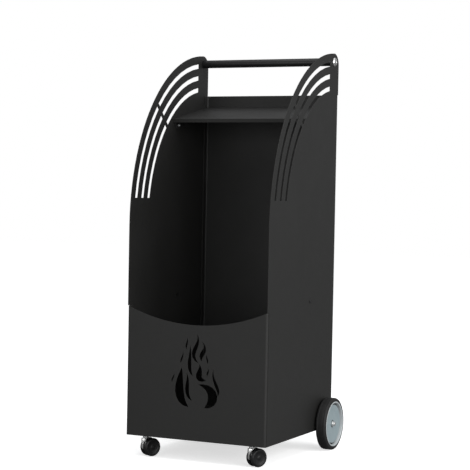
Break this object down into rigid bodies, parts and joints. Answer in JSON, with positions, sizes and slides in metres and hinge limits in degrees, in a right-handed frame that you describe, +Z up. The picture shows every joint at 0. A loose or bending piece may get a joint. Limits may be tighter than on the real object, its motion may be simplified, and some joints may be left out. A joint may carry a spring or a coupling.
{
  "type": "firewood log rack",
  "caption": "Tall folded sheet-steel log rack on wheels with an open front, flame cut-out, curved slotted sides, sloping tray shelf and tubular grab handle.",
  "frame": {"origin": "on the ground, midway between the side panels and midway between the front face and the rearmost point of the rear tyres", "axes": "+X towards the right-hand side seen from the front, +Y towards the rear, +Z up"},
  "size_m": [0.4712, 0.451, 1.0744],
  "materials": {
    "powder_coat": "fine-textured satin black powder coat",
    "tube_coat": "smooth satin black powder coat",
    "chrome": "bright nickel plating",
    "zinc": "zinc-plated steel",
    "black_plastic": "moulded black plastic",
    "tyre_rubber": "matt black rubber",
    "rim_plastic": "pale blue-grey moulded plastic"
  },
  "bodies": {
    "rack": {"front_panel": "powder_coat", "rear_panel": "powder_coat", "floor_panel": "powder_coat", "tray_shelf": "powder_coat", "side_panel_left": "powder_coat", "side_panel_right": "powder_coat", "handle_tube": "tube_coat", "handle_insert_left": "zinc", "handle_screw_left": "chrome", "tray_stud_front_left": "zinc", "tray_nut_front_left": "zinc", "tray_stud_rear_left": "zinc", "tray_nut_rear_left": "zinc", "side_plug_left": "black_plastic", "handle_insert_right": "zinc", "handle_screw_right": "chrome", "tray_stud_front_right": "zinc", "tray_nut_front_right": "zinc", "tray_stud_rear_right": "zinc", "tray_nut_rear_right": "zinc", "side_plug_right": "black_plastic", "axle_rod": "zinc", "axle_spacer_left": "black_plastic", "axle_cap_left": "chrome", "axle_spacer_right": "black_plastic", "axle_cap_right": "chrome", "caster_socket_left": "powder_coat", "caster_stem_left": "zinc", "caster_socket_right": "powder_coat", "caster_stem_right": "zinc"},
    "rear_wheel_left": {"wheel_rim_left": "rim_plastic", "wheel_tyre_left": "tyre_rubber"},
    "caster_left": {"caster_fork_left": "chrome", "caster_axle_left": "zinc"},
    "caster_left_front_wheel": {"caster_wheel_left_front": "black_plastic"},
    "caster_left_rear_wheel": {"caster_wheel_left_rear": "black_plastic"},
    "rear_wheel_right": {"wheel_rim_right": "rim_plastic", "wheel_tyre_right": "tyre_rubber"},
    "caster_right": {"caster_fork_right": "chrome", "caster_axle_right": "zinc"},
    "caster_right_front_wheel": {"caster_wheel_right_front": "black_plastic"},
    "caster_right_rear_wheel": {"caster_wheel_right_rear": "black_plastic"}
  },
  "joints": [
    {"name": "rear_wheel_left_spin", "type": "hinge", "parent": "rack", "child": "rear_wheel_left", "pos_m": [-0.219, 0.1555, 0.07], "axis": [1, 0, 0], "continuous": true},
    {"name": "caster_left_swivel", "type": "hinge", "parent": "rack", "child": "caster_left", "pos_m": [-0.153, -0.2025, 0.0475], "axis": [0, 0, 1], "continuous": true},
    {"name": "caster_left_front_spin", "type": "hinge", "parent": "caster_left", "child": "caster_left_front_wheel", "pos_m": [-0.14575, -0.18994, 0.024], "axis": [0.866, -0.5, 0], "continuous": true},
    {"name": "caster_left_rear_spin", "type": "hinge", "parent": "caster_left", "child": "caster_left_rear_wheel", "pos_m": [-0.14575, -0.18994, 0.024], "axis": [0.866, -0.5, 0], "continuous": true},
    {"name": "rear_wheel_right_spin", "type": "hinge", "parent": "rack", "child": "rear_wheel_right", "pos_m": [0.219, 0.1555, 0.07], "axis": [1, 0, 0], "continuous": true},
    {"name": "caster_right_swivel", "type": "hinge", "parent": "rack", "child": "caster_right", "pos_m": [0.153, -0.2025, 0.0475], "axis": [0, 0, 1], "continuous": true},
    {"name": "caster_right_front_spin", "type": "hinge", "parent": "caster_right", "child": "caster_right_front_wheel", "pos_m": [0.16025, -0.18994, 0.024], "axis": [0.866, -0.5, 0], "continuous": true},
    {"name": "caster_right_rear_spin", "type": "hinge", "parent": "caster_right", "child": "caster_right_rear_wheel", "pos_m": [0.16025, -0.18994, 0.024], "axis": [0.866, -0.5, 0], "continuous": true}
  ]
}
